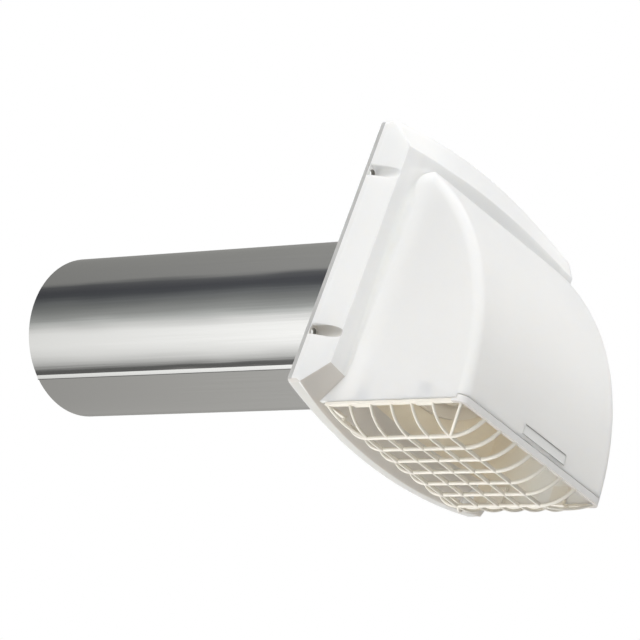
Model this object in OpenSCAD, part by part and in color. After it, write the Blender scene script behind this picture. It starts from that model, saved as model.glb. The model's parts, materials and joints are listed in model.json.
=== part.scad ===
// Wall exhaust hood for a round duct: a moulded hood with a bevelled wall flange,
// a hinged damper flap, a lift-out bird guard and a rolled aluminium tail pipe.
// Millimetres. X runs along the wall, +Y into the wall along the duct, Z up.
// The origin is on the duct axis, in the plane of the wall.

/* [Duct] */
// Outside diameter of the tail pipe
pipe_d = 101.6; // [75:0.1:160]
// Length of the tail pipe
pipe_len = 304.8; // [150:0.1:600]
// Sheet thickness of the tail pipe
pipe_wall = 0.5; // [0.3:0.05:1.5]
// How far the front end of the pipe reaches past the wall plane into the flange
pipe_inset = 1.8; // [0:0.1:8]
// How far the collar's spigot reaches behind the wall plane
spigot_reach = 24; // [12:0.5:60]
// Wall thickness of the spigot
spigot_wall = 2.2; // [1.2:0.1:4]
// Direction of the lock seam, seen from outside, from +X towards +Z
seam_angle = -120; // [-180:0.5:180]
// Width of the folded sheet behind the lock seam
seam_w = 9; // [4:0.5:16]
// Thickness of the folded sheet behind the lock seam
seam_fold_t = 1; // [0.5:0.1:2]
// Width of the lock seam's groove outside
seam_groove_w = 1.2; // [0.6:0.1:3]
// Depth of the lock seam's groove outside
seam_groove_t = 0.25; // [0.1:0.05:0.4]

/* [Flange] */
// Width of the flange beside each cheek of the hood
flange_side = 20.9; // [15:0.1:40]
// Height of the flange's corners above and below the collar's ring
flange_over = 27.4; // [20:0.1:50]
// Rise of the bowed top and bottom edges at the middle
flange_bow = 12.4; // [4:0.1:20]
// Height of the upright rim against the wall
rim_t = 6.4; // [3:0.1:10]
// Distance of the flange's flat face from the wall
flange_depth = 23; // [18:0.1:32]
// Width of the bevel along each side
side_bevel = 6.8; // [3:0.1:12]
// Width of the bevel at the middle of the top and bottom
bow_bevel = 20.9; // [8:0.1:26]
// How many times flatter the flat face's bow is than the rim's bow
bow_flatter = 1.4; // [1.2:0.05:2.5]
// Radius of the flange's corners
corner_r = 3; // [1:0.1:6]
// Distance of the screw holes from the flange's side edges
screw_edge = 3.9; // [3.5:0.1:10]
// Distance between the screw holes up the flange
screw_h = 107; // [60:0.5:130]
// Diameter of the wall screw holes
screw_d = 4.2; // [3:0.1:6]
// Diameter of the pocket over each wall screw
pocket_d = 7.2; // [7:0.1:12]
// Thickness under each wall screw's head
pocket_floor = 3; // [1.5:0.1:5]

/* [Hood] */
// Distance between the collar's ring and the hood's cheeks inside
cheek_gap = 3.6; // [1:0.1:20]
// Height of the hood's top above the collar's ring, at the flange's flat face
hood_over = 9.8; // [8:0.1:16]
// Distance of the mouth's side edges below the collar's ring
mouth_under = 30.6; // [20:0.1:45]
// Distance of the front from the wall, at the mouth
hood_reach = 124; // [110:0.1:160]
// Distance of the front curve's centre below the mouth
curve_drop = 9.7; // [0:0.1:30]
// Radius of the hood's rounded front edges
edge_r = 6; // [4:0.1:14]
// Radius of the hood's upper corners, seen from the front
crown_r = 17; // [15:0.1:30]
// Wall thickness of the moulding
wall = 2.2; // [1.5:0.1:3.5]
// How much higher the front lip ends, for the guard's front bar
lip_rise = 2.4; // [1.5:0.1:8]
// How far that step reaches back from the front
lip_reach = 5.5; // [3.5:0.1:8]
// Radius of the fillet beside the hood, at its widest
fillet_r = 6.2; // [3:0.1:9]
// Length over which that fillet fades out at its top
fillet_fade = 17; // [8:0.5:30]

/* [Damper] */
// Width of the collar's ring outside the spigot
collar_lip = 9.75; // [8:0.05:14]
// Thickness of the collar's ring
collar_t = 2.4; // [1.6:0.1:4]
// Width of the seat that the flap closes against
seat_w = 2; // [1:0.1:4]
// Height of that seat
seat_h = 2.1; // [1:0.1:4]
// How far the flap laps over the seat all round
flap_lap = 2.3; // [1:0.1:4]
// Thickness of the flap
flap_t = 1.8; // [1.2:0.1:3]
// Depth of the flap's stiffening ribs
flap_rib = 4; // [2:0.1:6]
// Thickness of the flap's stiffening ribs
flap_rib_w = 1.6; // [1:0.1:3]
// Diameter of the hinge rod
rod_d = 2.5; // [2:0.1:3]
// How far each end of the rod stands out of its ear
rod_end = 0.5; // [0:0.1:2]
// Wall of the flap's hinge barrel
barrel_wall = 1.05; // [0.8:0.05:2]
// Wall of the hinge ears round the rod
ear_wall = 1.95; // [1.2:0.05:3]
// Distance between the inner faces of the hinge ears
ear_gap = 36; // [24:0.5:44]
// Thickness of each hinge ear
ear_t = 3; // [2:0.1:5]
// Width of the hinge pad beside each ear
pad_edge = 2; // [0:0.1:5]
// Height of the hinge pad below the hinge
pad_drop = 20; // [8:0.5:30]

/* [Bird guard] */
// Depth of the basket below the mouth
basket_drop = 12.1; // [8:0.1:18]
// Distance between the long bars
long_pitch = 14.14; // [10:0.01:16]
// Distance between the cross bars
cross_pitch = 16.46; // [12:0.01:18]
// How far the front bars curl forward to the rim
front_run = 23; // [12:0.1:30]
// Diameter of the long bars
long_d = 2.5; // [1.5:0.1:4]
// Diameter of the cross bars
cross_d = 1.9; // [1.2:0.1:3]
// Height of the guard's rim
rim_h = 1.7; // [1.2:0.1:4]
// Width of the guard's rim
rim_w = 2.8; // [2:0.1:4]
// Thickness of the rear bar
rear_bar_t = 2.4; // [1.6:0.1:4]
// How far the rear bar steps down under the bow of the flange
rear_step = 2.4; // [1:0.1:5]
// Half the width of that step
rear_step_x = 48; // [30:0.5:54]
// Width of each push-in tab
tab_w = 12; // [6:0.5:20]
// Height of the push-in tabs above the rim
tab_h = 10; // [5:0.5:16]
// Thickness of the push-in tabs
tab_t = 2; // [1.2:0.1:3]

/* [Fasteners] */
// Shank diameter of the screws that hold the collar
collar_screw_d = 3; // [2:0.1:4]
// Length of those screws under the head
collar_screw_len = 12; // [8:0.5:14]
// Head diameter of those screws
collar_head_d = 6.4; // [5:0.1:8]
// Head height of those screws
collar_head_t = 2; // [1:0.1:2.5]
// Distance of those screws' heads from the edge of the collar's ring
head_edge = 1; // [0.3:0.1:2]
// Wall of the bosses that those screws bite into
boss_wall = 2.5; // [1.5:0.1:3.2]
// Shank diameter of the rivets that hold the pipe
rivet_d = 3.2; // [2.4:0.1:4.8]
// Head diameter of the rivets
rivet_head_d = 6; // [4:0.1:9]
// Head height of the rivets
rivet_head_t = 1.2; // [0.8:0.1:2]
// How far the rivets' set ends stand out round the shank
rivet_lip = 0.7; // [0.3:0.1:1.5]
// Number of rivets round the pipe
rivet_count = 3; // [2:1:6]

/* [Clearances] */
// Gap between pieces that come apart or move
part_gap = 0.3; // [0.2:0.05:0.5]
// Gap round a press or push fit
push_gap = 0.05; // [0.01:0.01:0.1]
// Gap between the rivets' set ends and the spigot
rivet_gap = 0.1; // [0.08:0.01:0.3]
// Gap between the hood's mouth and the guard's rim
guard_gap = 0.6; // [0.3:0.05:1.5]
// Gap between the guard's rear bar and the flange's bevel
rear_gap = 3.9; // [0.5:0.1:6]

/* [Hidden] */
$fn = 120;
pipe_r = pipe_d / 2;
pipe_bore_r = pipe_r - pipe_wall;
spigot_r = pipe_bore_r - push_gap;
spigot_bore_r = spigot_r - spigot_wall;
pipe_end = pipe_len - pipe_inset;

collar_r = spigot_r + collar_lip;
collar_face = flange_depth + collar_t;
seat_r = spigot_bore_r + seat_w;
seat_face = collar_face + seat_h;
collar_screw_at = collar_r - head_edge - collar_head_d / 2;
collar_boss_r = collar_screw_d / 2 + boss_wall;
collar_boss_end = collar_screw_len - collar_t - part_gap - flange_depth;
rivet_y = (spigot_reach - pipe_inset) / 2;
rivet_top = sqrt(pow(pipe_r, 2) - pow(rivet_head_d / 2, 2));

half_hood = collar_r + cheek_gap + wall;
half_w = half_hood + flange_side;
half_h = collar_r + flange_over;
bow_r = (half_w * half_w + flange_bow * flange_bow) / (2 * flange_bow);
bow_z = half_h + flange_bow - bow_r;
flat_r = bow_flatter * bow_r;
far = 4 * (half_w + half_h);
past = wall / 2;

mouth_z = -collar_r - mouth_under;
lip_z = mouth_z + lip_rise;
lip_cut = hood_reach - lip_reach;
hood_z = mouth_z - curve_drop;
hood_top = collar_r + hood_over;
hood_back = ((pow(hood_top - hood_z, 2) - pow(curve_drop, 2)) / (hood_reach - flange_depth)
             - hood_reach - flange_depth) / 2;
hood_r = norm([hood_reach + hood_back, curve_drop]);
fillet_end = -(half_h + flange_bow - bow_bevel - flat_r + sqrt(pow(flat_r, 2) - pow(half_hood, 2)));
fillet_top = hood_top - 3 / 4 * crown_r - fillet_fade;

barrel_r = rod_d / 2 + barrel_wall;
ear_r = rod_d / 2 + ear_wall;
pad_w = ear_gap + 2 * (ear_t + pad_edge);
flap_r = seat_r + flap_lap;
flap_back = seat_face + part_gap;
flap_front = flap_back + flap_t;
neck_w = ear_gap - 2 * part_gap;
hinge_y = -max(collar_face + part_gap + barrel_r, flap_back);
hinge_z = flap_r + part_gap + barrel_r;

guard_top = mouth_z - guard_gap;
guard_foot = guard_top - rim_h;
bar_top = lip_z - guard_gap;
basket_z = mouth_z - basket_drop;
long_count = 3;
cross_count = 5;
cross_front = hood_reach - rim_w / 2 - front_run;
cross_rear = cross_front - (cross_count - 1) * cross_pitch;
bevel_under = half_h + flange_bow + guard_top - rear_step + rear_gap;
rear_back = rim_t + min(1, bevel_under / bow_bevel) * (flange_depth - rim_t);
rear_bar = rear_back + rear_bar_t / 2;
rib_foot = guard_foot + rim_h / 2;
rib_rise = rib_foot - basket_z;
side_run = half_hood - rim_w / 2 - long_count * long_pitch;
rear_run = cross_rear - rear_bar;
tab_x = half_hood - wall - part_gap - tab_t;

// A round bar along Y from y0 to y1
module bar_y(y0, y1, r) {
    translate([0, y0, 0]) rotate([-90, 0, 0]) cylinder(h = y1 - y0, r = r);
}

// A round bar along X, centred on the YZ plane
module bar_x(length, r) {
    rotate([0, 90, 0]) cylinder(h = length, r = r, center = true);
}

// Copies at the four collar screws, turned so that local +Z points into the wall
module at_collar_screws() {
    for (turn = [45, 135, 225, 315])
        rotate([0, turn, 0]) translate([collar_screw_at, 0, 0]) rotate([-90, 0, 0]) children();
}

// Copies at the rivets, turned so that local +Z points away from the duct axis
module at_rivets() {
    for (i = [0 : rivet_count - 1])
        rotate([0, i * 360 / rivet_count, 0]) translate([0, rivet_y, 0]) children();
}

// Copies at the four wall screws; local +X points to the outside of the flange
module at_wall_screws() {
    for (side = [0, 1])
        for (z = [-screw_h / 2, screw_h / 2])
            mirror([side, 0, 0]) translate([half_w - screw_edge, 0, z]) children();
}

// Solid inside the flange's border: upright rim, side bevels and bowed bevels
module flange_form(inset, rim, depth) {
    w = half_w - inset;
    intersection() {
        translate([0, 0, -far / 2]) linear_extrude(far) polygon([
            [-w, 0], [-w, -rim], [-(w - side_bevel), -depth],
            [w - side_bevel, -depth], [w, -rim], [w, 0]]);
        bowed_side(bow_r - inset, rim, depth);
        mirror([0, 0, 1]) bowed_side(bow_r - inset, rim, depth);
    }
}

// Disc whose arc is one bowed side of the flange, cut by a wide cone so that the bevel
// is broadest at the middle
module bowed_side(r, rim, depth) {
    fall = depth - rim;
    spread = atan2((bow_flatter - 1) * r, fall);
    lean = atan2(fall, bow_bevel);
    reach = far / 2;
    intersection() {
        translate([0, 0, bow_z]) rotate([90, 0, 0]) cylinder(h = depth, r = r);
        translate([0, fall / (bow_flatter - 1) - rim, bow_z + r + bow_bevel / (bow_flatter - 1)])
            rotate([180 - lean + spread, 0, 0]) cylinder(h = reach, r1 = 0, r2 = reach * tan(spread));
    }
}

// What is cut off to round the flange's corners
module corner_cuts() {
    cx = half_w - corner_r;
    cz = bow_z + sqrt(pow(bow_r - corner_r, 2) - pow(cx, 2));
    lean = atan2(cx, cz - bow_z);
    over = 3 * corner_r;
    for (side = [0, 1])
        for (end = [0, 1])
            mirror([side, 0, 0]) mirror([0, 0, end]) translate([cx, 0, cz]) rotate([90, 0, 0])
                linear_extrude(2 * flange_depth, center = true) difference() {
                    polygon([[0, 0], [over, 0], [over, over], [over * sin(lean), over * cos(lean)]]);
                    circle(corner_r);
                }
}

// Solid of the hood with rounded front edges, turned about the centre of its curve
module hood_form(inset) {
    r = hood_r - inset;
    w = half_hood - inset;
    e = edge_r - inset;
    difference() {
        translate([0, hood_back, hood_z]) rotate([0, 90, 0]) rotate_extrude($fn = 240) {
            translate([0, -w]) square([r - e, 2 * w]);
            translate([0, e - w]) square([r, 2 * (w - e)]);
            for (end = [-1, 1])
                translate([r - e, end * (w - e)]) circle(e);
        }
        crown_cuts(crown_r - inset);
    }
}

// What is cut off to round the hood's upper corners to a radius
module crown_cuts(r) {
    for (side = [0, 1])
        mirror([side, 0, 0]) translate([half_hood - crown_r, 0, hood_top - crown_r]) rotate([90, 0, 0])
            linear_extrude(far, center = true) difference() {
                square(2 * crown_r);
                circle(r);
            }
}

// Cheeks and curved front, from behind the flange's face down to the mouth
module canopy() {
    intersection() {
        difference() {
            hood_form(0);
            hood_form(wall);
        }
        translate([-half_w, -hood_r, mouth_z]) cube([2 * half_w, hood_r - rim_t, far]);
    }
}

// Fillet in the corner beside a cheek, which widens upwards from nothing over a length
module taper_fillet(len) {
    axis = norm([fillet_r, fillet_r, len]);
    spread = fillet_r / norm([fillet_r, len]);
    over = 1.1;
    translate([half_hood, -flange_depth, 0]) mirror([0, 1, 0]) difference() {
        intersection() {
            rotate([90, 0, 0]) translate([0, 0, -fillet_r])
                linear_extrude(fillet_r + wall / 2) polygon([[-wall / 2, 0], [0, 0], [fillet_r, len],
                                                             [-wall / 2, len]]);
            rotate([90, 0, 90]) translate([0, 0, -wall / 2])
                linear_extrude(fillet_r + wall / 2) polygon([[-wall / 2, 0], [0, 0], [fillet_r, len],
                                                             [-wall / 2, len]]);
        }
        rotate([0, acos(len / axis), 45])
            cylinder(h = over * axis, r1 = 0, r2 = over * axis * spread);
    }
}

// Both cheek fillets: they widen up the cheeks, fade into the hood's upper corners,
// and end at the bottom where the flange's flat face ends
module cheek_fillets() {
    intersection() {
        for (side = [0, 1])
            mirror([side, 0, 0]) {
                translate([0, 0, hood_z]) taper_fillet(fillet_top - hood_z);
                translate([0, 0, fillet_top + fillet_fade]) mirror([0, 0, 1]) taper_fillet(fillet_fade);
            }
        translate([-half_w, -far, fillet_end]) cube([2 * half_w, far, far]);
    }
}

// Pocket over a wall screw, open at the rim, with its hole
module screw_pocket() {
    translate([0, -flange_depth, 0]) bar_y(-wall, flange_depth - pocket_floor, pocket_d / 2);
    translate([0, -flange_depth - wall, -pocket_d / 2])
        cube([half_w, flange_depth + wall - pocket_floor, pocket_d]);
    bar_y(-flange_depth, wall, screw_d / 2);
}

// Moulded hood in one piece with its bevelled flange
module hood_shell() {
    color("white") difference() {
        union() {
            difference() {
                union() {
                    difference() {
                        flange_form(0, rim_t, flange_depth);
                        corner_cuts();
                    }
                    canopy();
                    cheek_fillets();
                }
                flange_form(wall, rim_t - wall / 2, flange_depth - wall);
            }
            intersection() {
                flange_form(0, rim_t, flange_depth);
                at_wall_screws() {
                    bar_y(-flange_depth, 0, pocket_d / 2 + wall);
                    translate([0, -flange_depth, -pocket_d / 2 - wall])
                        cube([screw_edge, flange_depth, pocket_d + 2 * wall]);
                }
            }
            at_collar_screws() translate([0, 0, -flange_depth + wall / 2])
                cylinder(h = collar_boss_end + flange_depth - wall / 2, r = collar_boss_r);
        }
        at_wall_screws() screw_pocket();
        bar_y(-flange_depth - wall, -flange_depth + 2 * wall, spigot_r + part_gap);
        at_collar_screws() translate([0, 0, -flange_depth - wall])
            cylinder(h = collar_screw_len + 2 * wall, r = collar_screw_d / 2 + push_gap);
        translate([-half_w, -hood_r, mouth_z - wall])
            cube([2 * half_w, hood_r - lip_cut, lip_rise + wall]);
    }
}

// One hinge ear, drawn in the YZ plane
module ear_profile() {
    translate([hinge_y, hinge_z]) circle(ear_r);
    translate([hinge_y, hinge_z - ear_r])
        square([-hinge_y - flange_depth - collar_t / 2, 2 * ear_r]);
}

// Collar inside the hood: ring, flap seat, hinge ears and the spigot for the pipe
module duct_collar() {
    color("ivory") difference() {
        union() {
            bar_y(-collar_face, -flange_depth, collar_r);
            bar_y(-flange_depth - collar_t / 2, spigot_reach, spigot_r);
            bar_y(-seat_face, -flange_depth - collar_t / 2, seat_r);
            translate([-pad_w / 2, -collar_face, hinge_z - pad_drop])
                cube([pad_w, collar_t, pad_drop + ear_r]);
            for (x = [-ear_gap / 2 - ear_t, ear_gap / 2])
                translate([x, 0, 0]) rotate([90, 0, 90]) linear_extrude(ear_t) ear_profile();
        }
        bar_y(-seat_face - past, spigot_reach + past, spigot_bore_r);
        at_collar_screws() translate([0, 0, -collar_face - past])
            cylinder(h = collar_t + 2 * past, r = collar_screw_d / 2 + push_gap);
        at_rivets() rivet_hole();
        translate([0, hinge_y, hinge_z]) bar_x(ear_gap + 4 * ear_t, rod_d / 2 + push_gap);
    }
}

// Pan-head screws that hold the collar to the hood's back wall
module collar_screws() {
    color("silver") at_collar_screws() translate([0, 0, -collar_face]) {
        cylinder(h = collar_screw_len, r = collar_screw_d / 2);
        translate([0, 0, -collar_head_t]) cylinder(h = collar_head_t, r = collar_head_d / 2);
    }
}

// Rolled tail pipe with a lock seam folded to the inside
module tail_pipe() {
    fold_turn = seam_w / pipe_bore_r * 180 / PI;
    groove_turn = seam_groove_w / pipe_r * 180 / PI;
    fold_start = spigot_reach + 2 * part_gap;
    color("lightgray") difference() {
        union() {
            difference() {
                bar_y(-pipe_inset, pipe_end, pipe_r);
                bar_y(-pipe_inset - past, pipe_end + past, pipe_bore_r);
            }
            seam_strip(fold_start, pipe_end, fold_turn, pipe_bore_r - seam_fold_t,
                       seam_fold_t + pipe_wall / 2);
        }
        seam_strip(-pipe_inset - past, pipe_end + past, groove_turn, pipe_r - seam_groove_t,
                   seam_groove_t + past);
        at_rivets() rivet_hole();
    }
}

// Strip of a ring along the pipe, centred on the seam
module seam_strip(y0, y1, turn, r, t) {
    translate([0, y0, 0]) rotate([-90, 0, 0]) rotate([0, 0, -seam_angle - turn / 2])
        rotate_extrude(angle = turn) translate([r, 0]) square([t, y1 - y0]);
}

// Countersunk hole for a rivet
module rivet_hole() {
    cylinder(h = pipe_r, r = rivet_d / 2 + push_gap);
    translate([0, 0, rivet_top - rivet_head_t])
        cylinder(h = rivet_head_t, r1 = rivet_d / 2 + push_gap, r2 = rivet_head_d / 2 + push_gap);
    translate([0, 0, rivet_top]) cylinder(h = past, r = rivet_head_d / 2 + push_gap);
}

// Blind rivets through the pipe and the spigot, flush outside so that a duct slides over them
module pipe_rivets() {
    color("silver") at_rivets() {
        translate([0, 0, spigot_bore_r - rivet_head_t])
            cylinder(h = rivet_top - spigot_bore_r, r = rivet_d / 2);
        translate([0, 0, rivet_top - rivet_head_t])
            cylinder(h = rivet_head_t, r1 = rivet_d / 2, r2 = rivet_head_d / 2);
        translate([0, 0, spigot_bore_r - 2 * rivet_head_t])
            cylinder(h = 2 * rivet_head_t - rivet_gap, r = rivet_d / 2 + rivet_lip);
    }
}

// Damper flap: disc with a rim and ribs on its outer face, hung from a hinge barrel
module damper_flap() {
    color("ivory") difference() {
        union() {
            bar_y(-flap_front, -flap_back, flap_r);
            difference() {
                bar_y(-flap_front - flap_rib, -flap_back, flap_r);
                bar_y(-flap_front - flap_rib - past, -flap_back + past, flap_r - flap_rib_w);
            }
            translate([-neck_w / 2, -flap_front, 0]) cube([neck_w, flap_t, hinge_z]);
            translate([-flap_rib_w / 2, -flap_front - flap_rib, flap_rib_w - flap_r])
                cube([flap_rib_w, flap_rib + flap_t / 2, 2 * (flap_r - flap_rib_w)]);
            translate([flap_rib_w - flap_r, -flap_front - flap_rib, -flap_rib_w / 2])
                cube([2 * (flap_r - flap_rib_w), flap_rib + flap_t / 2, flap_rib_w]);
            translate([0, hinge_y, hinge_z]) bar_x(neck_w, barrel_r);
        }
        translate([0, hinge_y, hinge_z]) bar_x(ear_gap, rod_d / 2 + push_gap);
    }
}

// Wire rod that the flap swings on
module hinge_rod() {
    color("silver") translate([0, hinge_y, hinge_z]) bar_x(ear_gap + 2 * (ear_t + rod_end), rod_d / 2);
}

// Bar that leaves a node of the basket level and curls up, by run along and rise up
module curl(run, rise, d) {
    r = (run * run + rise * rise) / (2 * rise);
    translate([0, r, 0]) rotate([0, 0, -90])
        rotate_extrude(angle = asin(run / r)) translate([r, 0]) circle(d = d);
}

// Copy of a curl from a node of the basket, turned to run towards an azimuth
module curl_from(x, y, azimuth, run, rise, d) {
    translate([x, y, basket_z]) rotate([90, 0, azimuth]) curl(run, rise, d);
}

// Rim of the guard: it follows the mouth and carries the front bar and the push-in tabs
module guard_rim() {
    intersection() {
        difference() {
            hood_form(0);
            hood_form(rim_w);
        }
        union() {
            translate([-half_w, -hood_r, guard_foot]) cube([2 * half_w, hood_r - rear_back, rim_h]);
            translate([-half_w, -hood_r, guard_foot])
                cube([2 * half_w, hood_r - lip_cut - guard_gap, bar_top - guard_foot]);
        }
    }
    for (side = [0, 1])
        for (y = [-cross_front + cross_pitch / 2, -cross_rear - cross_pitch / 2])
            mirror([side, 0, 0]) translate([tab_x, y - tab_w / 2, guard_foot]) {
                cube([tab_t, tab_w, rim_h + guard_gap + tab_h]);
                cube([tab_t + part_gap + wall / 2, tab_w, rim_h]);
            }
}

// Rear bar of the guard, stepped down where the flange bows
module guard_rear_bar() {
    inner = half_hood - rim_w / 2;
    translate([0, -rear_back, guard_foot]) rotate([90, 0, 0]) linear_extrude(rear_bar_t)
        difference() {
            translate([-inner, -rear_step]) square([2 * inner, rim_h + rear_step]);
            translate([-rear_step_x, rim_h - rear_step]) square([2 * rear_step_x, far]);
            for (end = [0, 1])
                mirror([end, 0]) translate([rear_step_x + rim_h, -rear_step]) square([inner, rear_step]);
        }
}

// Basket of long bars, cross bars and corner bars
module guard_basket() {
    long_x = long_count * long_pitch;
    for (k = [-long_count : long_count]) {
        x = k * long_pitch;
        translate([x, 0, basket_z]) bar_y(-cross_front, -cross_rear, long_d / 2);
        curl_from(x, -cross_front, -90, front_run, rib_rise, long_d);
        curl_from(x, -cross_rear, 90, rear_run, rib_rise - rear_step, long_d);
    }
    for (k = [0 : cross_count - 1]) {
        y = -cross_front + k * cross_pitch;
        translate([0, y, basket_z]) bar_x(2 * long_x, cross_d / 2);
        curl_from(long_x, y, 0, side_run, rib_rise, cross_d);
        curl_from(-long_x, y, 180, side_run, rib_rise, cross_d);
    }
    for (side = [-1, 1]) {
        front_out = front_run - edge_r / 3;
        side_out = side_run - edge_r / 3;
        curl_from(side * long_x, -cross_front, atan2(-front_out, side * side_out),
                  norm([front_out, side_out]), rib_rise, cross_d);
        curl_from(side * long_x, -cross_rear, atan2(rear_run, side * side_run),
                  norm([rear_run, side_run]), rib_rise, cross_d);
    }
}

// Lift-out bird guard
module bird_guard() {
    color("oldlace") {
        guard_rim();
        guard_rear_bar();
        guard_basket();
    }
}

hood_shell();
duct_collar();
collar_screws();
tail_pipe();
pipe_rivets();
damper_flap();
hinge_rod();
bird_guard();
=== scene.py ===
# %% [markdown]
# # Dressing a wall exhaust hood
# The object is a moulded hood that covers the outside end of a duct: a white shell with a bevelled wall
# flange, a cream bird guard in its mouth, a damper flap inside and a rolled aluminium tail pipe.
# The solids arrive with their real sizes and places, so this lesson leaves every one where it is. It adds
# what they leave out: finishes, screw threads, rivet cores, the seam's fold, a panel and the guard's ribs.

# %% Load the solids
import json
import math

import bpy
from mathutils import Matrix, Vector


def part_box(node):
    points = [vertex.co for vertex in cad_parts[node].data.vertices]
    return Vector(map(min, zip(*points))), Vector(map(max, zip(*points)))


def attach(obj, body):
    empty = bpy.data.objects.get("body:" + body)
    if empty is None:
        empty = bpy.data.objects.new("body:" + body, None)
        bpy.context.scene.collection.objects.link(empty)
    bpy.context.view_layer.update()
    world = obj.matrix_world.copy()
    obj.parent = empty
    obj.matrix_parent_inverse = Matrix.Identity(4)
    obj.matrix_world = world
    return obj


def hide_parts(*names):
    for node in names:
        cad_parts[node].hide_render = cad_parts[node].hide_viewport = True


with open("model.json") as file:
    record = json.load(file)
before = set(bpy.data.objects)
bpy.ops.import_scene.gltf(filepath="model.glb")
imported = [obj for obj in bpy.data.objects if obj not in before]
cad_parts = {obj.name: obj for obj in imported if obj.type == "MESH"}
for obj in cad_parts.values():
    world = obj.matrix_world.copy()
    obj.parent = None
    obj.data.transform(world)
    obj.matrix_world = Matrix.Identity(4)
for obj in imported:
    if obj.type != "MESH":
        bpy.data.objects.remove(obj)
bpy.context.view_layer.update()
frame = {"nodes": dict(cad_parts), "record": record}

nodes = frame["nodes"]
print("solids:", ", ".join(sorted(nodes)))

# %% [markdown]
# ## Camera
# The photograph looks up at the hood from the left and from below, through a long lens, with the camera
# rolled by 20 degrees so that the pipe lies nearly level. A camera could be dragged into place by eye.
# Here its place, aim, roll and lens are named values, found by lining up the pipe, flange and guard.

# %% Stand the camera where the photograph was taken
CAMERA_AT = Vector((-1.65005, -1.84594, -0.99547))
CAMERA_AIM = Vector((-0.021137, 0.067808, -0.008449))
CAMERA_ROLL = math.radians(20.26)
LENS_MM = 251.17
SENSOR_MM = 36

camera = bpy.data.objects.new("camera", bpy.data.cameras.new("camera"))
camera.data.lens = LENS_MM
camera.data.sensor_width = SENSOR_MM
aim = (CAMERA_AIM - CAMERA_AT).to_track_quat("-Z", "Y").to_matrix().to_4x4()
camera.matrix_world = Matrix.Translation(CAMERA_AT) @ aim @ Matrix.Rotation(CAMERA_ROLL, 4, "Z")
bpy.context.scene.collection.objects.link(camera)
bpy.context.scene.camera = camera
bpy.context.scene.view_settings.view_transform = "Standard"
print(f"camera {(CAMERA_AIM - CAMERA_AT).length:.2f} m away")

# %% [markdown]
# ## Helpers for colours and nodes
# A colour picked on a screen is sRGB, while shaders add and multiply light, so every hex value goes
# through one function first. A second small function adds a node: its settings are keywords, and its
# sockets come in a dictionary where a value is typed in and another node's socket is linked.

# %% Turn hex colours to linear light, and add nodes
def linear(hex_colour):
    channels = [int(hex_colour[i:i + 2], 16) / 255 for i in (1, 3, 5)]
    return [c / 12.92 if c <= 0.04045 else ((c + 0.055) / 1.055) ** 2.4 for c in channels] + [1.0]


def add_node(tree, kind, sockets, **settings):
    node = tree.nodes.new("ShaderNode" + kind)
    for name, value in settings.items():
        setattr(node, name, value)
    for name, value in sockets.items():
        if isinstance(value, bpy.types.NodeSocket):
            tree.links.new(value, node.inputs[name])
        else:
            node.inputs[name].default_value = value
    return node


print("white reads as", linear("#FFFFFF"))

# %% [markdown]
# ## Tent of cards
# Bright metal shows whatever stands round it, so its look is made by the room. A photographer hangs white,
# grey and dark cards round the tube. Cards could be modelled as planes, but a ramp round the pipe's axis
# in the world gives the same bands along the whole length. Each stop is an angle in degrees and a paper:
# the dark papers draw the dark bands on the pipe, and the white ones between them its wide highlight.

# %% Paper the tent round the pipe
FULL_TURN = 360
CARDS = [
    (0, "#A3A29F"), (66, "#8D8D8A"), (122, "#8B8B89"), (129, "#58595B"), (140, "#48494D"),
    (148, "#4B4D50"), (157, "#6B6D6E"), (165, "#787A79"), (180, "#9C9E9C"), (187, "#BBBDBB"),
    (196, "#E4E4E2"), (204, "#F8F8F6"), (222, "#FAFAF8"), (236, "#ECECEA"), (245, "#D4D4D2"),
    (252, "#B6B6B4"), (257, "#5A5A59"), (262, "#5A5A59"), (268, "#A8A7A4")]

world = bpy.data.worlds.new("studio")
bpy.context.scene.world = world
world.use_nodes = True
tree = world.node_tree
tree.nodes.clear()
direction = add_node(tree, "SeparateXYZ", {0: add_node(tree, "TexCoord", {}).outputs["Generated"]}).outputs
back_x, back_z = [add_node(tree, "Math", {0: direction[axis], 1: -1.0}, operation="MULTIPLY").outputs[0]
                  for axis in ("X", "Z")]
round_pipe = add_node(tree, "Math", {0: back_z, 1: back_x}, operation="ARCTAN2").outputs[0]
share = add_node(tree, "MapRange", {"Value": round_pipe, "From Min": -math.pi, "From Max": math.pi})
tent = add_node(tree, "ValToRGB", {"Fac": share.outputs[0]})
edges = tent.color_ramp.elements
for i, (degrees, paper) in enumerate(CARDS):
    edge = edges[0] if i == 0 else edges.new(degrees / FULL_TURN)
    edge.position = degrees / FULL_TURN
    edge.color = linear(paper)
edges.remove(edges[-1])
print("tent of", len(edges), "card edges")

# %% [markdown]
# ## What each ray sees
# The photograph has a plain white ground, evenly lit plastic and metal that mirrors the cards. A Light
# Path node tells the rays apart, so one world can give all three: white to the camera, the tent to glossy
# rays and an even grey to the rest. A white backdrop would be simpler, but would light the object too.

# %% Sort the rays
AMBIENT = 0.25

rays = add_node(tree, "LightPath", {}).outputs
even = add_node(tree, "Background", {"Color": (AMBIENT, AMBIENT, AMBIENT, 1)})
cards = add_node(tree, "Background", {"Color": tent.outputs["Color"]})
white = add_node(tree, "Background", {"Color": linear("#FFFFFF")})
seen = add_node(tree, "Math", {0: rays["Is Camera Ray"], 1: rays["Is Transmission Ray"]}, operation="MAXIMUM")
lit = add_node(tree, "MixShader", {0: rays["Is Glossy Ray"], 1: even.outputs[0], 2: cards.outputs[0]})
shown = add_node(tree, "MixShader", {0: seen.outputs[0], 1: lit.outputs[0], 2: white.outputs[0]})
add_node(tree, "OutputWorld", {"Surface": shown.outputs[0]})
print("even light of", AMBIENT)

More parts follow.
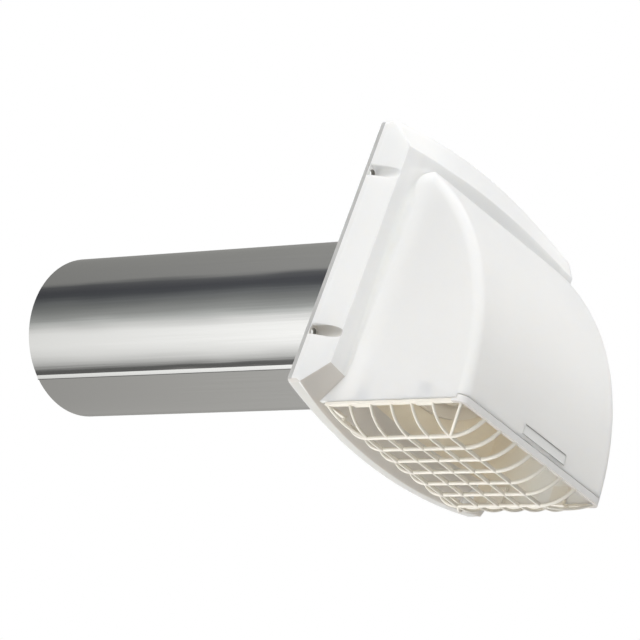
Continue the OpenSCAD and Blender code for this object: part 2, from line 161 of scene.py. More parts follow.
# %% [markdown]
# ## Softboxes
# The photograph's light is soft and comes from many sides: boxes to the left, above and to the right, one
# under the back that lifts the flange's lower edge, and a weak one low on the left that reaches into the
# mouth. One lamp would be simpler, but it draws hard shadows. Each box is an area lamp turned to the
# origin, with its place in metres and its power in watts. Metal doesn't show them: it has the tent.

# %% Hang the softboxes
BOX_SIDE = 0.9
SOFTBOXES = {
    "left_softbox": ((-1.4, 0.0, 0.0), 4.9),
    "high_left_softbox": ((-0.99, 0.0, 0.99), 4.6),
    "front_left_softbox": ((-0.92, -0.63, 0.84), 8.4),
    "overhead_softbox": ((0.0, 0.0, 1.4), 5.4),
    "front_right_softbox": ((0.85, -0.71, 0.85), 8.8),
    "under_back_softbox": ((0.0, 0.7, -1.22), 17.0),
    "low_left_softbox": ((-0.75, -0.55, -1.05), 3.0)}

for name, (at, watts) in SOFTBOXES.items():
    lamp = bpy.data.lights.new(name, "AREA")
    lamp.shape = "SQUARE"
    lamp.size = BOX_SIDE
    lamp.energy = watts
    softbox = bpy.data.objects.new(name, lamp)
    softbox.location = at
    softbox.rotation_euler = (-Vector(at)).to_track_quat("-Z", "Y").to_euler()
    softbox.visible_glossy = False
    bpy.context.scene.collection.objects.link(softbox)
print(len(SOFTBOXES), "softboxes of", BOX_SIDE, "m")

# %% [markdown]
# ## Floor
# A wall holds the hood up, so the floor lies far below it and only fills the background of views from
# above. It could be a studio sweep with a curved back. A flat sheet does as well, if it is so wide that
# none of its edges show, and it is hidden from reflections as the lamps are.

# %% Lay the floor
FLOOR_Z = -4.0
FLOOR_HALF = 60.0

sheet = bpy.data.meshes.new("floor")
floor_corners = [(x * FLOOR_HALF, y * FLOOR_HALF, FLOOR_Z) for x, y in ((-1, -1), (1, -1), (1, 1), (-1, 1))]
sheet.from_pydata(floor_corners, [], [(0, 1, 2, 3)])
floor = bpy.data.objects.new("floor", sheet)
bpy.context.scene.collection.objects.link(floor)
floor.visible_glossy = False
print("floor", -FLOOR_Z, "m below the duct")

# %% [markdown]
# ## Starting a finish
# Every material below starts the same way: a Principled shader and the object's own coordinates, which
# are metres in the frame of the solids. So a pattern's scale is one over its real size. Unwrapped maps
# could place a pattern too, but these coordinates need none and run on from piece to piece.

# %% Start a material
MM = 0.001


def start_finish(name):
    finish = bpy.data.materials.new(name)
    finish.use_nodes = True
    tree = finish.node_tree
    tree.nodes.clear()
    shader = add_node(tree, "BsdfPrincipled", {})
    add_node(tree, "OutputMaterial", {"Surface": shader.outputs[0]})
    place = add_node(tree, "TexCoord", {}).outputs["Object"]
    return finish, tree, shader, place


def per_mm(size):
    return 1 / (size * MM)


print("a pattern of 1 mm has the scale", per_mm(1))

# %% [markdown]
# ## Floor paint
# The floor is chalky wall paint, put on with a roller. Next to a white world white paint looks grey, so it
# glows a little, but only to the camera. Stronger lamps would whiten it too, and spoil the hood.

# %% Paint the floor
ROLLER_PATCH = 400
FLOOR_GLOW = 0.66

# Chalky paint spreads light evenly: the eye finds no shine, only slow patches from the roller
floor_paint, tree, shader, place = start_finish("matt_floor_paint")
rolled_on = add_node(tree, "TexNoise", {"Vector": place, "Scale": per_mm(ROLLER_PATCH), "Detail": 3.0})
chalk = add_node(tree, "MixRGB", {"Fac": rolled_on.outputs["Fac"], "Color1": linear("#EDEDEB"),
                                  "Color2": linear("#F2F2F0")}).outputs[0]
for socket in ("Base Color", "Emission Color"):
    tree.links.new(chalk, shader.inputs[socket])
to_camera = add_node(tree, "LightPath", {}).outputs["Is Camera Ray"]
glow = add_node(tree, "Math", {0: to_camera, 1: FLOOR_GLOW}, operation="MULTIPLY").outputs[0]
tree.links.new(glow, shader.inputs["Emission Strength"])
shader.inputs["Roughness"].default_value = 0.9
floor.data.materials.append(floor_paint)
print(floor_paint.name)

# %% [markdown]
# ## White hood: how deep under its skin
# The hood is one moulding of white ABS, white outside, while its inside is tinted tan as painted shade, so
# its material has to know which skin it is on. The shell could be cut in two, but that leaves a seam at the
# mouth. Nodes can measure the depth under the outer skin instead, from the shell's own radii in millimetres:
# a front curved about an axis across the hood, flat cheeks, and rounded edges between them, which widen at
# the crown.

# %% Measure the depth under the hood's outer skin
CURVE_Y = 69.27
CURVE_Z = -100.3
CURVE_R = 193.52
HALF_HOOD = 65.8
WALL = 2.2
EDGE_R = 6.0
CROWN_R = 17.0
FLANGE_DEPTH = 23.0

hood_resin, tree, shader, place = start_finish("moulded_white_abs")
axes = add_node(tree, "SeparateXYZ", {0: place}).outputs
across = add_node(tree, "Math", {0: axes["X"]}, operation="ABSOLUTE").outputs[0]
from_curve = add_node(tree, "CombineXYZ", {})
for axis, centre in (("Y", CURVE_Y), ("Z", CURVE_Z)):
    away = add_node(tree, "Math", {0: axes[axis], 1: centre * MM}, operation="SUBTRACT").outputs[0]
    tree.links.new(away, from_curve.inputs[axis])
radius = add_node(tree, "VectorMath", {0: from_curve.outputs[0]}, operation="LENGTH").outputs["Value"]
rounding = add_node(tree, "MapRange", {
    "Value": axes["Y"], "From Min": -(FLANGE_DEPTH + 2 * WALL) * MM, "From Max": -(FLANGE_DEPTH + WALL) * MM,
    "To Min": EDGE_R * MM, "To Max": CROWN_R * MM}).outputs[0]
past_edge = add_node(tree, "CombineXYZ", {})
for axis, value, limit in (("X", across, HALF_HOOD), ("Y", radius, CURVE_R)):
    past = add_node(tree, "Math", {0: value, 1: limit * MM}, operation="SUBTRACT").outputs[0]
    past = add_node(tree, "Math", {0: past, 1: rounding}, operation="ADD").outputs[0]
    past = add_node(tree, "Math", {0: past, 1: 0.0}, operation="MAXIMUM").outputs[0]
    tree.links.new(past, past_edge.inputs[axis])
depth = add_node(tree, "VectorMath", {0: past_edge.outputs[0]}, operation="LENGTH").outputs["Value"]
depth = add_node(tree, "Math", {0: depth, 1: rounding}, operation="SUBTRACT").outputs[0]
print("skin measured with", len(tree.nodes), "nodes")

# %% [markdown]
# ## White hood: where its skin looks and where it lies
# Half of the wall's edge at the mouth counts as deep, so a second measure helps: a face is inside only if
# it looks at the middle of the hollow. The same normal tells which faces look down. A third measure is the
# distance from the nearest screw axis. The record in the frame holds the spacing of those screws.

# %% Measure where the skin looks, and how far the screws are
HOLLOW_AT = (0.0, -40.0, -30.0)
mounts = {mount["name"]: mount["dims"] for mount in frame["record"]["mounts"]}
screw_holes = mounts["wall_screws"]

skin_way = add_node(tree, "NewGeometry", {}).outputs["True Normal"]
upward = add_node(tree, "SeparateXYZ", {0: skin_way}).outputs["Z"]
middle = [value * MM for value in HOLLOW_AT]
from_middle = add_node(tree, "VectorMath", {0: place, 1: middle}, operation="SUBTRACT").outputs[0]
outward = add_node(tree, "VectorMath", {0: from_middle, 1: skin_way}, operation="DOT_PRODUCT")
outward = outward.outputs["Value"]
height = add_node(tree, "Math", {0: axes["Z"]}, operation="ABSOLUTE").outputs[0]
to_screw = add_node(tree, "CombineXYZ", {})
for axis, value, spacing in (("X", across, "spacing_x_mm"), ("Y", height, "spacing_y_mm")):
    off_axis = screw_holes[spacing] / 2 * MM
    away = add_node(tree, "Math", {0: value, 1: off_axis}, operation="SUBTRACT").outputs[0]
    tree.links.new(away, to_screw.inputs[axis])
to_screw = add_node(tree, "VectorMath", {0: to_screw.outputs[0]}, operation="LENGTH").outputs["Value"]
print(screw_holes["count"], "screw holes of radius", screw_holes["hole_r_mm"], "mm")

# %% [markdown]
# ## White hood: tests for its places
# Each place that differs in colour is where some of these tests are all true. A painted mask could say
# the same, but it needs an image. Limits are in millimetres with a little slack, so that a test never
# falls on a face itself. Two tests fade in over a range: beside the hood's foot, and under the flange.

# %% Test each place against its limits
HALF_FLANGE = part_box("hood_shell")[1][0] / MM
FOOT_BLEND = 5.0
RIM_TALL = 8.0
RIM_FOOT = 3.0
UNDERSIDE = -58.0
POCKET_R = 3.6
FACE_SLACK, BORE_SLACK = 0.3, 0.1
LOOKS_DOWN = -0.92
UNDER_START, UNDER_FULL = -0.25, -0.5

limits = {
    "deep": (depth, "LESS_THAN", -WALL / 2),
    "before_flange": (axes["Y"], "LESS_THAN", WALL / 2 - FLANGE_DEPTH),
    "to_hollow": (outward, "LESS_THAN", 0.0),
    "on_face": (axes["Y"], "LESS_THAN", FACE_SLACK - FLANGE_DEPTH),
    "low": (axes["Z"], "LESS_THAN", UNDERSIDE),
    "rim_side": (across, "GREATER_THAN", HALF_FLANGE - FACE_SLACK),
    "rim_foot": (axes["Y"], "GREATER_THAN", -RIM_FOOT),
    "rim": (axes["Y"], "GREATER_THAN", -RIM_TALL),
    "pocket": (to_screw, "LESS_THAN", POCKET_R + BORE_SLACK),
    "hole": (to_screw, "LESS_THAN", screw_holes["hole_r_mm"] + BORE_SLACK),
    "lower_half": (axes["Z"], "LESS_THAN", 0.0)}
is_at = {name: add_node(tree, "Math", {0: value, 1: limit * MM}, operation=test).outputs[0]
         for name, (value, test, limit) in limits.items()}
for name, test in (("sloped", "GREATER_THAN"), ("looks_down", "LESS_THAN")):
    is_at[name] = add_node(tree, "Math", {0: upward, 1: LOOKS_DOWN}, operation=test).outputs[0]
is_at["beside"] = add_node(tree, "MapRange", {"Value": across, "From Min": HALF_HOOD * MM,
                                              "From Max": (HALF_HOOD + FOOT_BLEND) * MM}).outputs[0]
is_at["under"] = add_node(tree, "MapRange", {"Value": upward, "From Min": UNDER_START,
                                             "From Max": UNDER_FULL}).outputs[0]
print("tests:", ", ".join(is_at))

# %% [markdown]
# ## White hood: its colours
# Outside, the resin is a bright white that changes slowly with the flow of the melt. Inside it is painted
# tan as shade by the back wall and pales towards the front as painted light, where daylight reaches in.
# The flat beside the hood gets a painted highlight, a shade whiter. The lower bevel and the rim's foot and
# underside are greyer with painted shade, the lower screw pockets are painted in shade and their holes
# painted dark. Each is one colour laid over the last where its tests agree.

# %% Lay the hood's colours
MELT_FLOW = 60
TAN_END, PALE_END = -35, -80

melt = add_node(tree, "TexNoise", {"Vector": place, "Scale": per_mm(MELT_FLOW), "Detail": 2.0})
resin = add_node(tree, "MixRGB", {"Fac": melt.outputs["Fac"], "Color1": linear("#F0F0EE"),
                                  "Color2": linear("#F4F4F2")}).outputs[0]
# Painted shade and light: tan by the back wall as painted shade, turning paler towards the front as painted
# light
painted_light_fade = add_node(tree, "MapRange", {"Value": axes["Y"], "From Min": TAN_END * MM, "From Max": PALE_END * MM})
painted_shade_inside = add_node(tree, "MixRGB", {"Fac": painted_light_fade.outputs[0], "Color1": linear("#EDE2D2"),
                                       "Color2": linear("#FEFAF1")}).outputs[0]
# Painted light and shade: the whiter flat is a painted highlight; the grey lower bevel, rim foot and
# underside, the shaded lower pockets, the dark holes and the tan inside are painted shade
tints = [
    (("beside", "on_face"), linear("#F9F9F5")),
    (("under", "low", "sloped"), linear("#D9D5D0")),
    (("deep", "before_flange", "to_hollow"), painted_shade_inside),
    (("rim_side", "rim_foot"), linear("#BEBEBD")),
    (("looks_down", "low", "rim"), linear("#D8D7D3")),
    (("pocket", "lower_half"), linear("#CCCAC6")),
    (("hole",), linear("#77766F"))]
for tests, colour in tints:
    mask = is_at[tests[0]]
    for test in tests[1:]:
        mask = add_node(tree, "Math", {0: mask, 1: is_at[test]}, operation="MULTIPLY").outputs[0]
    resin = add_node(tree, "MixRGB", {"Fac": mask, "Color1": resin, "Color2": colour}).outputs[0]
tree.links.new(resin, shader.inputs["Base Color"])
print(len(tints), "tints over the white")

# %% [markdown]
# ## White hood: its surface
# The mould was spark-eroded, which leaves a fine even grain, and ABS of this thickness lets light wander
# a few millimetres before it comes out again. Grain could be modelled, but noise in the bump and in the
# roughness is enough. A Bevel node rounds the shading of edges that the solids leave sharp.

# %% Give the resin its grain, soft edges and scattering
GRAIN = 0.8
GRAIN_TALL = 0.05
EDGE_SOFT = 1.2
ABS_IOR = 1.54
SCATTER = 5.5

# Eroded ABS spreads highlights into a soft sheen, and scattered light fills its shadows and folds
# Real grain is about a tenth of a millimetre wide: it is drawn coarser, so that it shows at all
grain = add_node(tree, "TexNoise", {"Vector": place, "Scale": per_mm(GRAIN), "Detail": 2.0}).outputs["Fac"]
sheen = add_node(tree, "MapRange", {"Value": grain, "To Min": 0.36, "To Max": 0.48})
tree.links.new(sheen.outputs[0], shader.inputs["Roughness"])
soft = add_node(tree, "Bevel", {"Radius": EDGE_SOFT * MM}, samples=6).outputs[0]
skin = add_node(tree, "Bump", {"Height": grain, "Strength": 0.15, "Distance": GRAIN_TALL * MM,
                               "Normal": soft})
tree.links.new(skin.outputs[0], shader.inputs["Normal"])
shader.inputs["IOR"].default_value = ABS_IOR
shader.inputs["Subsurface Weight"].default_value = 1.0
shader.inputs["Subsurface Radius"].default_value = (1.0, 0.96, 0.9)
shader.inputs["Subsurface Scale"].default_value = SCATTER * MM
nodes["hood_shell"].data.materials[0] = hood_resin
print(hood_resin.name, "of", len(tree.nodes), "nodes")

# %% [markdown]
# ## Cream guard
# The bird guard is moulded from polypropylene, a little yellower and waxier than the hood. The front band
# of its rim lies outside in the light, so its colour is painted light, as white as the hood, with painted
# shade, grey, underneath. The band could be a piece of its own, but the real guard is one moulding, so the
# material finds it by depth and height.

# %% Mix the guard's resin
WAX_PATCH = 25
BAND_DEPTH = 8.8
GUARD_FOOT = -92.9
BAND_UNDER = -0.5

# Waxy polypropylene has a soft, broad shine that differs a little from bar to bar
guard_resin, tree, shader, place = start_finish("moulded_cream_polypropylene")
flow = add_node(tree, "TexNoise", {"Vector": place, "Scale": per_mm(WAX_PATCH), "Detail": 2.0}).outputs["Fac"]
cream = add_node(tree, "MixRGB", {"Fac": flow, "Color1": linear("#F5EFE2"), "Color2": linear("#F9F5EC")})
axes = add_node(tree, "SeparateXYZ", {0: place}).outputs
band_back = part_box("bird_guard")[0][1] + BAND_DEPTH * MM
band_foot = (GUARD_FOOT - BORE_SLACK) * MM
at_front = add_node(tree, "Math", {0: axes["Y"], 1: band_back}, operation="LESS_THAN").outputs[0]
on_rim = add_node(tree, "Math", {0: axes["Z"], 1: band_foot}, operation="GREATER_THAN").outputs[0]
band = add_node(tree, "Math", {0: at_front, 1: on_rim}, operation="MULTIPLY").outputs[0]
skin_way = add_node(tree, "NewGeometry", {}).outputs["True Normal"]
upward = add_node(tree, "SeparateXYZ", {0: skin_way}).outputs["Z"]
down = add_node(tree, "Math", {0: upward, 1: BAND_UNDER}, operation="LESS_THAN").outputs[0]
# Painted light and shade: the band is white where it faces out, and grey as painted shade underneath
band_light_and_shade = add_node(tree, "MixRGB", {"Fac": down, "Color1": linear("#F1F0EE"), "Color2": linear("#D2CDC8")})
banded = add_node(tree, "MixRGB", {"Fac": band, "Color1": cream.outputs[0], "Color2": band_light_and_shade.outputs[0]})
tree.links.new(banded.outputs[0], shader.inputs["Base Color"])
wax = add_node(tree, "MapRange", {"Value": flow, "To Min": 0.34, "To Max": 0.46})
tree.links.new(wax.outputs[0], shader.inputs["Roughness"])
nodes["bird_guard"].data.materials[0] = guard_resin
print(guard_resin.name)

# %% [markdown]
# ## Tan collar and flap
# The collar and the flap sit out of the light, behind the guard. Both are moulded in one tan resin. They
# could share the hood's material, but that is made for the hood's places and would tint them by mistake.

# %% Mix the damper's resin
DAMPER_FLOW = 40

# Unpainted polypropylene looks even and warm, with a dull shine and faint clouds where the melt met
damper_resin, tree, shader, place = start_finish("moulded_tan_polypropylene")
clouds = add_node(tree, "TexNoise", {"Vector": place, "Scale": per_mm(DAMPER_FLOW), "Detail": 2.0})
tan = add_node(tree, "MixRGB", {"Fac": clouds.outputs["Fac"], "Color1": linear("#F4EDE0"),
                                "Color2": linear("#F7F1E7")})
tree.links.new(tan.outputs[0], shader.inputs["Base Color"])
shader.inputs["Roughness"].default_value = 0.45
for name in ("duct_collar", "damper_flap"):
    nodes[name].data.materials[0] = damper_resin
print(damper_resin.name)

# %% [markdown]
# ## Mill aluminium: its colour
# The pipe is bright sheet as it leaves the rolling mill. The rolls draw fine streaks along the sheet, and
# the far end has dulled in handling. An anisotropic shader could smear the highlight along the streaks.
# Noise that is stretched along the pipe does it too, and shows the single streaks.

# %% Roll the aluminium
STREAK = (1.2, 90, 1.2)
DULL_FROM, DULL_TO = 60, 310

# Mill finish mirrors the tent almost sharply, so the eye reads the pipe by its long pale and dark bands
pipe_metal, tree, shader, place = start_finish("rolled_mill_aluminium")
along = add_node(tree, "Mapping", {"Vector": place, "Scale": [per_mm(size) for size in STREAK]}).outputs[0]
streaks = add_node(tree, "TexNoise", {"Vector": along, "Scale": 1.0, "Detail": 3.0}).outputs["Fac"]
bright = add_node(tree, "MixRGB", {"Fac": streaks, "Color1": linear("#F2F2F1"), "Color2": linear("#FFFFFF")})
length = add_node(tree, "SeparateXYZ", {0: place}).outputs["Y"]
dull = add_node(tree, "MapRange", {"Value": length, "From Min": DULL_FROM * MM, "From Max": DULL_TO * MM})
handled = add_node(tree, "MixRGB", {"Fac": dull.outputs[0], "Color1": bright.outputs[0],
                                    "Color2": linear("#DEDEDD")})
tree.links.new(handled.outputs[0], shader.inputs["Base Color"])
nodes["tail_pipe"].data.materials[0] = pipe_metal
print(pipe_metal.name)

# %% [markdown]
# ## Mill aluminium: its bore
# Inside, the pipe has a thin bloom of dust and looks matt and pale. The bore could be a face group with a
# material of its own. Here the normal tells it apart, because only there it points at the axis.

# %% Dust the bore
TOWARDS_AXIS = -20
BORE_METALLIC = 0.45
BORE_HAZE = 0.45

# Outside, the streaks blur the mirror a little. The dusted bore mirrors nothing and only looks light grey
from_axis = add_node(tree, "VectorMath", {0: place, 1: (1.0, 0.0, 1.0)}, operation="MULTIPLY").outputs[0]
sheet_way = add_node(tree, "NewGeometry", {}).outputs["True Normal"]
facing = add_node(tree, "VectorMath", {0: from_axis, 1: sheet_way}, operation="DOT_PRODUCT").outputs["Value"]
bore = add_node(tree, "Math", {0: facing, 1: TOWARDS_AXIS * MM}, operation="LESS_THAN").outputs[0]
dusted = add_node(tree, "MapRange", {"Value": bore, "To Min": 1.0, "To Max": BORE_METALLIC}).outputs[0]
tree.links.new(dusted, shader.inputs["Metallic"])
blur = add_node(tree, "MapRange", {"Value": streaks, "To Min": 0.08, "To Max": 0.15}).outputs[0]
bloom = add_node(tree, "MapRange", {"Value": bore, "To Max": BORE_HAZE}).outputs[0]
haze = add_node(tree, "Math", {0: blur, 1: bloom}, operation="ADD").outputs[0]
tree.links.new(haze, shader.inputs["Roughness"])
print("bore roughness up to", BORE_HAZE, "more")

# %% [markdown]
# ## Mill aluminium: its waves
# Thin sheet is never quite round: it buckles in slow waves, and the rolls leave finer lines along it. Both
# are far too low to model, but a mirror shows them at once as wavering edges of its bands, so two bumps
# lie one on the other.

# %% Buckle the sheet and draw its rolling lines
BUCKLE = (22, 70, 22)
BUCKLE_TALL = 0.45
ROLLING = (3, 160, 3)
ROLLING_TALL = 0.04

waves = add_node(tree, "Mapping", {"Vector": place, "Scale": [per_mm(size) for size in BUCKLE]}).outputs[0]
buckle = add_node(tree, "TexNoise", {"Vector": waves, "Scale": 1.0, "Detail": 1.0}).outputs["Fac"]
uneven = add_node(tree, "Bump", {"Height": buckle, "Strength": 1.0, "Distance": BUCKLE_TALL * MM}).outputs[0]
lines = add_node(tree, "Mapping", {"Vector": place, "Scale": [per_mm(size) for size in ROLLING]}).outputs[0]
rolling = add_node(tree, "TexNoise", {"Vector": lines, "Scale": 1.0, "Detail": 2.0}).outputs["Fac"]
rolled = add_node(tree, "Bump", {"Height": rolling, "Strength": 1.0, "Distance": ROLLING_TALL * MM,
                                 "Normal": uneven}).outputs[0]
tree.links.new(rolled, shader.inputs["Normal"])
print("waves of", BUCKLE[1], "mm and lines of", ROLLING[1], "mm along the pipe")

# %% [markdown]
# ## Zinc
# The collar's screws and the hinge rod are steel with a thin electroplated zinc coat, greyer than the pipe
# and a little blue. A plain grey metal would do from afar. Close up the plating is cloudy, so one noise
# makes its colour and its blur uneven.

# %% Plate the screws and the rod
ZINC_CLOUD = 1.5

# Zinc plating glints softly and unevenly, because it grew in patches
zinc_coat, tree, shader, place = start_finish("zinc_plated_steel")
cloud = add_node(tree, "TexNoise", {"Vector": place, "Scale": per_mm(ZINC_CLOUD), "Detail": 3.0})
zinc = add_node(tree, "MixRGB", {"Fac": cloud.outputs["Fac"], "Color1": linear("#AEB1B4"),
                                 "Color2": linear("#C9CACB")})
tree.links.new(zinc.outputs[0], shader.inputs["Base Color"])
patchy = add_node(tree, "MapRange", {"Value": cloud.outputs["Fac"], "To Min": 0.22, "To Max": 0.42})
tree.links.new(patchy.outputs[0], shader.inputs["Roughness"])
shader.inputs["Metallic"].default_value = 1.0
nodes["hinge_rod"].data.materials[0] = zinc_coat
print(zinc_coat.name)

# %% [markdown]
# ## Satin aluminium
# The rivets are headed from aluminium wire and tumbled clean, which dents them finely all over. They could
# share the pipe's metal, but its streaks run along the sheet, and a rivet has none.

# %% Tumble the rivets
TUMBLE_DENT = 0.5

# Tumbled metal is satin: it has the metal's colour, but no clear mirror image
rivet_metal, tree, shader, place = start_finish("tumbled_aluminium_wire")
dents = add_node(tree, "TexNoise", {"Vector": place, "Scale": per_mm(TUMBLE_DENT), "Detail": 2.0})
alloy = add_node(tree, "MixRGB", {"Fac": dents.outputs["Fac"], "Color1": linear("#C4C4C5"),
                                  "Color2": linear("#D8D8D8")})
tree.links.new(alloy.outputs[0], shader.inputs["Base Color"])
satin = add_node(tree, "MapRange", {"Value": dents.outputs["Fac"], "To Min": 0.28, "To Max": 0.45})
tree.links.new(satin.outputs[0], shader.inputs["Roughness"])
shader.inputs["Metallic"].default_value = 1.0
print(rivet_metal.name)

# %% [markdown]
# ## Turned shapes
# Screws and rivets are round: a profile of radii and heights, swept about an axis. Blender's Screw modifier
# could sweep it. A short function that lays rings of points keeps the profile in plain millimetres, and
# lets a thread be cut afterwards by moving points in along a helix.

# %% Sweep a profile
def turned(profile, steps):
    points, faces, last = [], [], None
    for radius, height in profile:
        ring = []
        for i in range(steps if radius > 0 else 1):
            angle = 2 * math.pi * i / steps
            ring.append(len(points))
            points.append(Vector((radius * math.cos(angle), radius * math.sin(angle), height)))
        if last:
            for i in range(steps):
                corners = [last[i % len(last)], last[(i + 1) % len(last)],
                           ring[(i + 1) % len(ring)], ring[i % len(ring)]]
                faces.append(tuple(dict.fromkeys(corners)))
        last = ring
    return points, faces


print("a cone of 8 sides has", len(turned([(0, 0), (1, 1)], 8)[1]), "faces")

# %% [markdown]
# ## Pieces
# What is drawn in millimetres becomes an object in metres: smooth, with its sharp edges kept, dressed, and
# riding on the body that carries it. Equal pieces could be linked copies, but three rivets or four screws
# are one node in the solids, so their copies go into one mesh.

# %% Copy a shape to its places, and hang a piece on its body
def copies(points, faces, places):
    all_points, all_faces = [], []
    for place in places:
        start = len(all_points)
        all_points += [place @ Vector(point) for point in points]
        all_faces += [tuple(start + i for i in face) for face in faces]
    return all_points, all_faces


def add_piece(name, points, faces, finish, slot, crease, body="hood"):
    mesh = bpy.data.meshes.new(name)
    mesh.from_pydata([Vector(point) * MM for point in points], [], faces)
    mesh.validate()
    mesh.shade_smooth()
    mesh.set_sharp_from_angle(angle=math.radians(crease))
    mesh.materials.append(finish)
    piece = bpy.data.objects.new(name, mesh)
    bpy.context.scene.collection.objects.link(piece)
    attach(piece, body)
    print(name, len(points), "points")
    return piece


print("a piece rides on the hood unless another body is named")

# %% [markdown]
# ## Rivets
# Three blind rivets join the pipe to the collar's spigot. A countersunk head lies flush with the metal,
# the drawn-off pin leaves a small dimple in it, and behind the spigot the end has swelled into a bulb. All
# of that is round, so one profile gives it, from the bulb outwards.

# %% Set the rivets
RIVETS = 3
RIVET_Y = 11.1
RIVET_TOP = 50.71
ROUND_SIDES = 32
RIVET_CREASE = 35

bulb = [(0, 45.75), (1.2, 45.75), (2.0, 46.0), (2.3, 46.6), (2.2, 47.4), (1.9, 47.95), (1.6, 47.97)]
sunk_head = [(1.6, RIVET_TOP - 1.2), (2.95, RIVET_TOP - 0.05), (2.9, RIVET_TOP), (1.15, RIVET_TOP)]
dimple = [(0.95, RIVET_TOP - 0.1), (0.88, RIVET_TOP - 0.5), (0.7, RIVET_TOP - 0.4), (0, RIVET_TOP - 0.35)]
rivet_shape = turned(bulb + sunk_head + dimple, ROUND_SIDES)
rivet_places = [Matrix.Rotation(math.radians(FULL_TURN / RIVETS * i), 4, "Y")
                @ Matrix.Translation((0, RIVET_Y, 0)) for i in range(RIVETS)]
rivets = add_piece("blind_rivets", *copies(*rivet_shape, rivet_places),
                   rivet_metal, "rivet_aluminium", RIVET_CREASE)
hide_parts("pipe_rivets")

# %% [markdown]
# ## Collar screws: their thread
# Four pan-head screws hold the collar to the hood's back wall. The head, shank and tip are turned from one
# profile. A thread could be a helix of its own, joined on. Pulling the shank's points in along a helix
# cuts one without a join, if the rings lie close enough.

# %% Turn one screw and thread it
SCREW_LENGTH = 12.0
HEAD_TALL = 2.0
SHANK_R = 1.5
TIP_LONG = 2.0
PLAIN_NECK = 1.0
THREAD_PITCH = 1.3
THREAD_DEPTH = 0.4
THREAD_FLANK = 1.6
ROWS_PER_MM = 6

head = [(0, -HEAD_TALL), (1.0, -1.97), (2.0, -1.78), (2.7, -1.35), (3.08, -0.8), (3.2, -0.3), (3.12, 0.0),
        (SHANK_R, 0.0)]
thread_end = SCREW_LENGTH - TIP_LONG
shank = [(SHANK_R, row / ROWS_PER_MM) for row in range(1, int(thread_end * ROWS_PER_MM))]
tip = [(1.2, SCREW_LENGTH - 1.8), (0.6, SCREW_LENGTH - 0.8), (0, SCREW_LENGTH)]
screw_points, screw_faces = turned(head + shank + tip, ROUND_SIDES)
for point in screw_points:
    if PLAIN_NECK < point.z < thread_end:
        wave = (point.z / THREAD_PITCH - math.atan2(point.y, point.x) / (2 * math.pi)) % 1
        shrink = 1 - THREAD_DEPTH / SHANK_R * min(1, abs(2 * wave - 1) * THREAD_FLANK)
        point.x *= shrink
        point.y *= shrink
print("thread of", round((thread_end - PLAIN_NECK) / THREAD_PITCH, 1), "turns")

# %% [markdown]
# ## Collar screws: the punch for their drive
# A driver turns the screw by a cross recess that narrows with its depth. Its corners don't follow the rings
# of a turned shape, so the recess is cut by a punch: one cross-shaped outline at two heights, smaller at the
# deeper one. One quarter of the cross is drawn and turned for the next, and both are turned half round.

# %% Shape the punch
ARM = 1.7
HALF_ARM = 0.36
RECESS = 1.2
RECESS_TAPER = 0.62
PUNCH_PROUD = 0.5

quarter = [(HALF_ARM, HALF_ARM), (HALF_ARM, ARM), (-HALF_ARM, ARM)]
cross = quarter + [(-y, x) for x, y in quarter]
cross += [(-x, -y) for x, y in cross]
depths = ((-HEAD_TALL - PUNCH_PROUD, 1.0), (-HEAD_TALL + RECESS, RECESS_TAPER))
punch_points = [(x * scale, y * scale, z) for z, scale in depths for x, y in cross]
sides = len(cross)
punch_faces = [tuple(reversed(range(sides))), tuple(range(sides, 2 * sides))]
punch_faces += [(i, (i + 1) % sides, sides + (i + 1) % sides, sides + i) for i in range(sides)]
print("punch with", sides, "sides")

# %% [markdown]
# ## Collar screws: their drive
# A Boolean modifier takes the punch out of the head. It needs two objects, so both are made for the cut
# and removed after it, and only the cut mesh is kept.

# %% Cut the cross recess
blank, punch = [bpy.data.objects.new(name, bpy.data.meshes.new(name))
                for name in ("screw_blank", "recess_punch")]
blank.data.from_pydata(screw_points, [], screw_faces)
punch.data.from_pydata(punch_points, [], punch_faces)
for tool in (blank, punch):
    bpy.context.scene.collection.objects.link(tool)
cut = blank.modifiers.new("recess", "BOOLEAN")
cut.object = punch
cut.operation = "DIFFERENCE"
headed = bpy.data.meshes.new_from_object(blank.evaluated_get(bpy.context.evaluated_depsgraph_get()))
screw_points = [vertex.co.copy() for vertex in headed.vertices]
screw_faces = [tuple(face.vertices) for face in headed.polygons]
for tool in (blank, punch):
    bpy.data.objects.remove(tool)
print("screw with", len(screw_points), "points")

# %% [markdown]
# ## Collar screws: in their places
# The screws sit on a circle in the collar's ring, at its four diagonals, with their heads on its face. They
# could be placed by hand. A matrix for each, worked out from its angle, lays the screw's axis along the duct.

# %% Drive the four screws home
SCREWS = 4
SCREW_CIRCLE = 55.8
COLLAR_FACE = -25.4
SCREW_CREASE = 30

screw_turns = [math.radians(FULL_TURN / SCREWS * (i + 0.5)) for i in range(SCREWS)]
into_wall = Matrix.Rotation(math.radians(-90), 4, "X")
screw_places = []
for turn in screw_turns:
    at = (SCREW_CIRCLE * math.cos(turn), COLLAR_FACE, -SCREW_CIRCLE * math.sin(turn))
    screw_places.append(Matrix.Translation(at) @ into_wall @ Matrix.Rotation(turn, 4, "Z"))
screws = add_piece("pan_head_screws", *copies(screw_points, screw_faces, screw_places),
                   zinc_coat, "zinc_steel", SCREW_CREASE)
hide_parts("collar_screws")

# %% [markdown]
# ## Fold of the lock seam
# The pipe's two edges hook into each other, and the hook leaves a low ridge that runs the length of the
# tube and laps over the seam's groove. The groove is in the solid. The ridge is drawn as a section round
# the pipe and pulled along it: a long slope that mirrors the white cards as a bright band, a nearly level
# crest that mirrors a dark one as a thin line, and a steep edge. A bump can't give such a clear step.

# %% Lay the ridge over the groove
PIPE_R = mounts["duct_tail"]["r_mm"]
SEAM_ANGLE = -120
RIDGE_ENDS = (0.5, -0.4)
RIDGE_CREASE = 40

